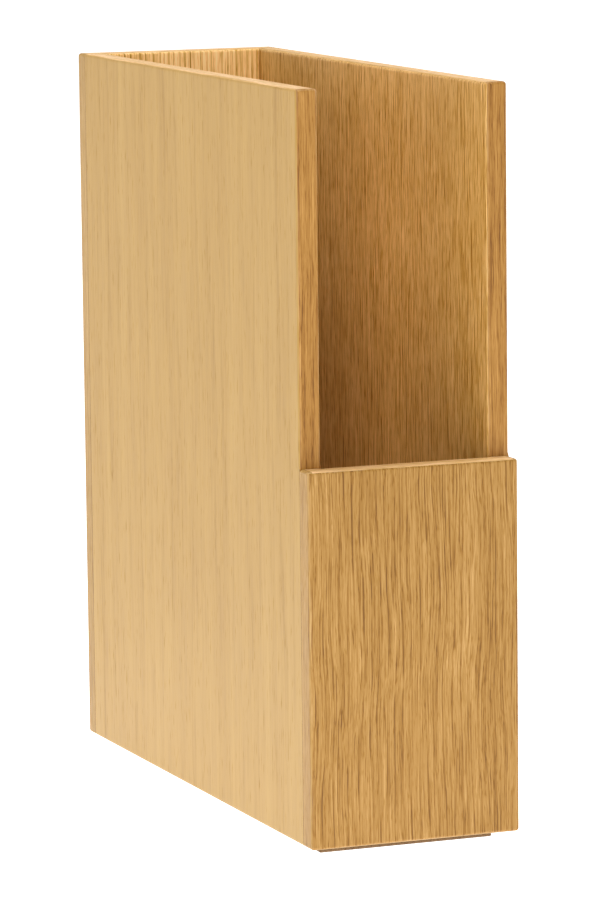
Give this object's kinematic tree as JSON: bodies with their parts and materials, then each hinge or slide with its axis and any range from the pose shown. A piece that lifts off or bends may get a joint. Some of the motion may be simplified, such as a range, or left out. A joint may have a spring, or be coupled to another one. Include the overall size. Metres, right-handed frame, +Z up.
{
  "type": "magazine rack",
  "caption": "Tall narrow oak-veneered magazine rack, open at the top, with a low front panel and a set-back plinth.",
  "frame": {"origin": "middle of the footprint on the surface that the rack stands on", "axes": "+Z up, the low front panel faces -Y, +X to the right as seen from the front"},
  "size_m": [0.0944, 0.2796, 0.32],
  "materials": {
    "oak_side_veneer": "pale fine-grained oak veneer, matt lacquer",
    "oak_front_veneer": "open-grained oak veneer, matt lacquer",
    "oak_back_veneer": "striped oak veneer, matt lacquer",
    "oak_floor_veneer": "oak veneer, matt lacquer",
    "oak_lipping": "solid oak edge, sanded and lacquered",
    "oak_plinth": "dark oak, matt lacquer",
    "beech_dowel": "plain beech",
    "screw_steel": "zinc-plated"
  },
  "bodies": {
    "root": {"left_side_panel": "oak_side_veneer", "left_side_front_lipping": "oak_lipping", "left_side_top_lipping": "oak_lipping", "left_side_bottom_lipping": "oak_lipping", "right_side_panel": "oak_side_veneer", "right_side_front_lipping": "oak_lipping", "right_side_top_lipping": "oak_lipping", "right_side_bottom_lipping": "oak_lipping", "back_panel": "oak_back_veneer", "back_left_lipping": "oak_lipping", "back_right_lipping": "oak_lipping", "back_top_lipping": "oak_lipping", "back_bottom_lipping": "oak_lipping", "front_panel": "oak_front_veneer", "front_left_lipping": "oak_lipping", "front_right_lipping": "oak_lipping", "front_top_lipping": "oak_lipping", "front_bottom_lipping": "oak_lipping", "bottom_panel": "oak_floor_veneer", "plinth_plate": "oak_plinth", "front_left_dowels": "beech_dowel", "front_right_dowels": "beech_dowel", "back_left_dowels": "beech_dowel", "back_right_dowels": "beech_dowel", "bottom_left_dowels": "beech_dowel", "bottom_right_dowels": "beech_dowel", "bottom_front_dowels": "beech_dowel", "bottom_back_dowels": "beech_dowel", "plinth_screws": "screw_steel"}
  },
  "joints": []
}
